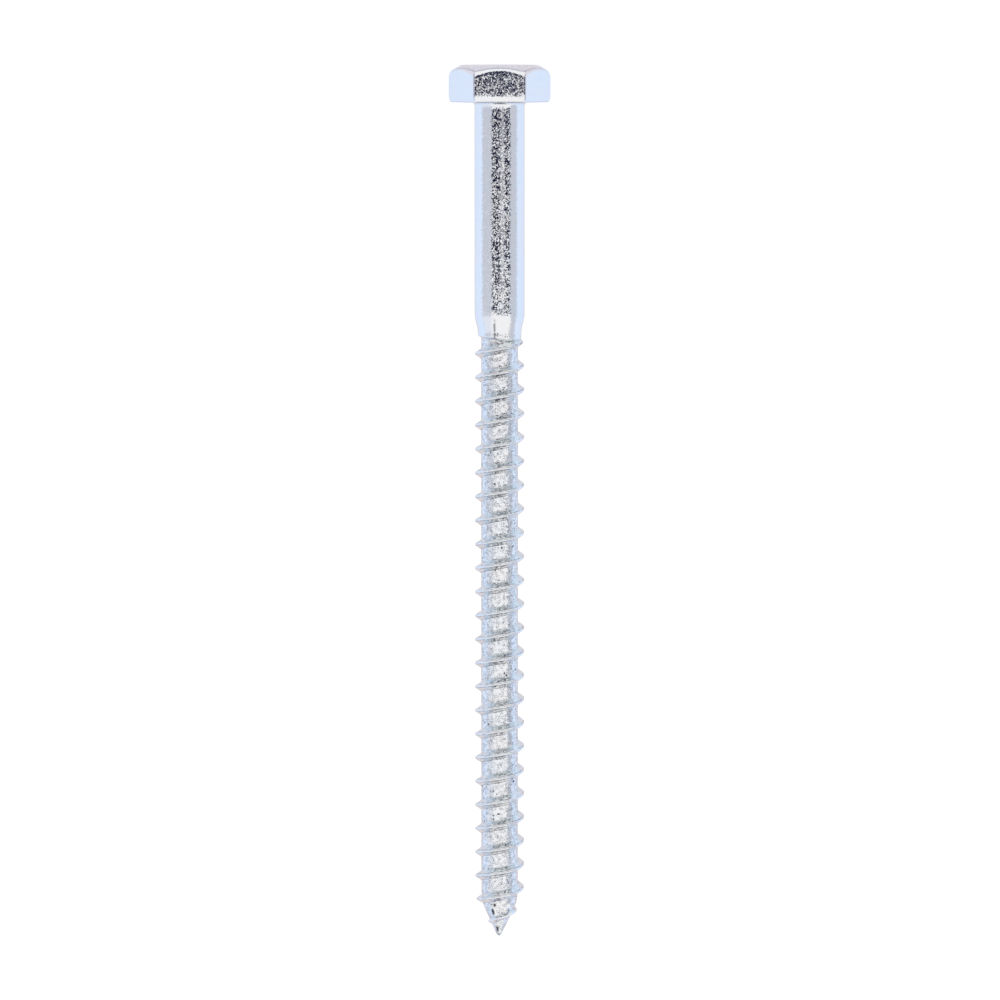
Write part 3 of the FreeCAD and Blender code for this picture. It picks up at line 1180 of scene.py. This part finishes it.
@dataclass
class Studio:
    """Pale floor, soft light and camera. Lengths in metres unless a name says otherwise."""

    placement: Placement
    floor_size: float = 6.0
    floor_glow: float = 0.95
    floor_paint: Colour = (0.12, 0.12, 0.12, 1.0)
    floor_lit: Colour = (0.8, 0.8, 0.8, 1.0)
    side_tint: Colour = (0.694, 0.808, 0.98, 1.0)
    near_tint: Colour = (0.72, 0.69, 0.74, 1.0)
    near_from: float = 0.008
    near_to: float = 0.012
    behind_head: float = 0.088
    behind_soft: float = 0.004
    wall: Colour = (0.604, 0.635, 0.70, 1.0)
    left_wall: Colour = (0.84, 0.87, 0.92, 1.0)
    panel: Colour = (0.98, 0.98, 0.97, 1.0)
    slot_dark: Colour = (0.010, 0.011, 0.044, 1.0)
    slot_strip: Colour = (0.385, 0.395, 0.43, 1.0)
    panel_left: float = 0.60
    panel_right: float = 0.76
    slot_to_tip: float = 0.062
    slot_to_head: float = 0.22
    strip_from: float = 0.08
    strip_to: float = 0.36
    soft: float = 0.04
    crisp: float = 0.01
    paler_over: float = 0.16
    tip_dark: Colour = (0.12, 0.12, 0.14, 1.0)
    head_dark: Colour = (0.62, 0.64, 0.66, 1.0)
    end_from: float = 0.91
    end_to: float = 0.98
    side_low: float = 0.09
    fill: Colour = (0.55, 0.55, 0.55, 1.0)
    lamp_power: float = 3.2
    lamp_size: float = 0.5
    lamp_reach: float = 0.75
    lamp_angle: float = 62.0
    camera_sensor_mm: float = 36.0
    camera_near: float = 0.01
    camera_far: float = 20.0
    camera_distance_mm: float = 978.3
    camera_lean: float = 5.29
    camera_aim_mm: float = 75.8
    camera_side_mm: float = 0.08
    camera_lens_mm: float = 184.28

    def rays(self, graph: Graph) -> list[Wire]:
        """1 for rays of the camera, from a mirror and through glass, and 0 for all others."""
        kinds = ("Is Camera Ray", "Is Glossy Ray", "Is Transmission Ray")
        return [graph.node("ShaderNodeLightPath", {}, {}, output=kind) for kind in kinds]

    def floor(self) -> bpy.types.Object:
        """Makes the floor, white to the camera but with the screw's soft shadow.

        Returns:
            The floor as an object.
        """
        bpy.ops.mesh.primitive_plane_add(size=self.floor_size, location=(0, 0, 0))
        floor = bpy.context.active_object
        floor.name = "floor"
        made = bpy.data.materials.new("floor_paper")
        made.use_nodes = True
        graph = Graph(made.node_tree)
        place = graph.node("ShaderNodeTexCoord", {}, {}, output="Object")
        side = abs(graph.node("ShaderNodeSeparateXYZ", {}, {0: place}, output="X"))
        along = graph.node("ShaderNodeSeparateXYZ", {}, {0: place}, output="Y")
        behind = along.between(self.behind_head - self.behind_soft, self.behind_head + self.behind_soft)
        seen, mirrored, through = self.rays(graph)
        far = side.between(self.near_from, self.near_to) * (1 - behind)
        tint = graph.mixed(far, self.near_tint, self.side_tint)
        glow = graph.mixed(mirrored, WHITE, tint)
        light = graph.node("ShaderNodeEmission", {}, {"Color": glow, "Strength": self.floor_glow})
        paint, lit = [
            graph.node("ShaderNodeBsdfDiffuse", {}, {"Color": colour})
            for colour in (self.floor_paint, self.floor_lit)
        ]
        shown = graph.node("ShaderNodeAddShader", {}, {0: light, 1: paint})
        any_view = seen + mirrored + through
        surface = graph.node("ShaderNodeMixShader", {}, {0: any_view, 1: lit, 2: shown})
        graph.node("ShaderNodeOutputMaterial", {}, {"Surface": surface})
        floor.data.materials.append(made)
        return floor

    def world(self) -> None:
        """Makes the surroundings: grey walls, a pale panel overhead and the dark slot in it."""
        world = bpy.data.worlds.new("studio")
        bpy.context.scene.world = world
        world.use_nodes = True
        graph = Graph(world.node_tree)
        way = graph.node("ShaderNodeTexCoord", {}, {}, output="Generated")
        axes = (self.placement.to_tip, self.placement.across, self.placement.upwards)
        lengthwise, sideways, upwards = [graph.along(way, axis) for axis in axes]
        soft = self.soft
        overhead = sideways.near(-self.panel_left, self.panel_right, soft)
        strip = sideways.near(self.strip_from, self.strip_to, soft)
        low = 1 - upwards.between(self.side_low - soft, self.side_low + soft)
        slot = 1 - lengthwise.between(self.slot_to_tip - self.crisp, self.slot_to_tip + self.crisp)
        slot = slot * lengthwise.between(-self.slot_to_head - soft, -self.slot_to_head + soft)
        above = graph.mixed(slot, self.panel, graph.mixed(strip, self.slot_dark, self.slot_strip))
        paler = lengthwise.between(self.slot_to_tip, self.slot_to_tip + self.paler_over)
        walls = graph.mixed(paler * (1 - sideways.between(-soft, soft)), self.wall, self.left_wall)
        around = graph.mixed(overhead, graph.mixed(low, walls, self.side_tint), above)
        tip_end = lengthwise.between(self.end_from, self.end_to)
        head_end = (0 - lengthwise).between(self.end_from, self.end_to)
        around = graph.mixed(tip_end, graph.mixed(head_end, around, self.head_dark), self.tip_dark)
        seen, mirrored, _ = self.rays(graph)
        colour = graph.mixed(seen, graph.mixed(mirrored, self.fill, around), WHITE)
        background = graph.node("ShaderNodeBackground", {}, {"Color": colour, "Strength": 1.0})
        graph.node("ShaderNodeOutputWorld", {}, {"Surface": background})

    def lamps(self) -> None:
        """Hangs one large soft lamp on each side, turned to the screw."""
        for name, side in (("left_lamp", -1.0), ("right_lamp", 1.0)):
            angle = math.radians(self.lamp_angle) * side
            light = bpy.data.lights.new(name, "AREA")
            light.shape = "SQUARE"
            light.size = self.lamp_size
            light.energy = self.lamp_power
            lamp = bpy.data.objects.new(name, light)
            sideways, upwards = math.sin(angle), math.cos(angle)
            lamp.location = (self.lamp_reach * sideways, 0, self.lamp_reach * upwards)
            lamp.rotation_euler = (0, angle, 0)
            lamp.visible_glossy = False
            bpy.context.scene.collection.objects.link(lamp)

    def camera(self) -> None:
        """Sets the camera above the screw, leaning towards its head as in the photograph."""
        lean = math.radians(self.camera_lean)
        to_frame = self.placement.matrix()
        target = to_frame @ Vector((self.camera_side_mm, 0, self.camera_aim_mm))
        stand = Vector((
            self.camera_side_mm,
            self.camera_distance_mm * math.cos(lean),
            self.camera_aim_mm - self.camera_distance_mm * math.sin(lean),
        ))
        place = to_frame @ stand
        back = (place - target).normalized()
        up = -self.placement.to_tip
        right = up.cross(back).normalized()
        view = bpy.data.cameras.new("camera")
        view.sensor_width = self.camera_sensor_mm
        view.lens = self.camera_lens_mm
        view.clip_start = self.camera_near
        view.clip_end = self.camera_far
        camera = bpy.data.objects.new("camera", view)
        turn = Matrix((right, back.cross(right), back)).transposed().to_4x4()
        camera.matrix_world = Matrix.Translation(place) @ turn
        bpy.context.scene.collection.objects.link(camera)
        bpy.context.scene.camera = camera

    def build(self) -> None:
        """Makes the whole studio."""
        self.floor()
        self.world()
        self.lamps()
        self.camera()
        bpy.context.scene.view_settings.view_transform = "Standard"


def main() -> None:
    """Builds the screw and its studio."""
    logging.basicConfig(level=logging.INFO, format="%(name)s: %(message)s")
    bpy.ops.object.select_all(action="DESELECT")
    forging = Forging()
    placement = Placement(forging.head_height)
    screw = LagScrew(forging, Thread(), ZincPlate(), placement).build()
    mesh = screw.data
    LOG.info("%s has %d vertices and %d faces", screw.name, len(mesh.vertices), len(mesh.polygons))
    Studio(placement).build()


if __name__ == "__main__":
    main()
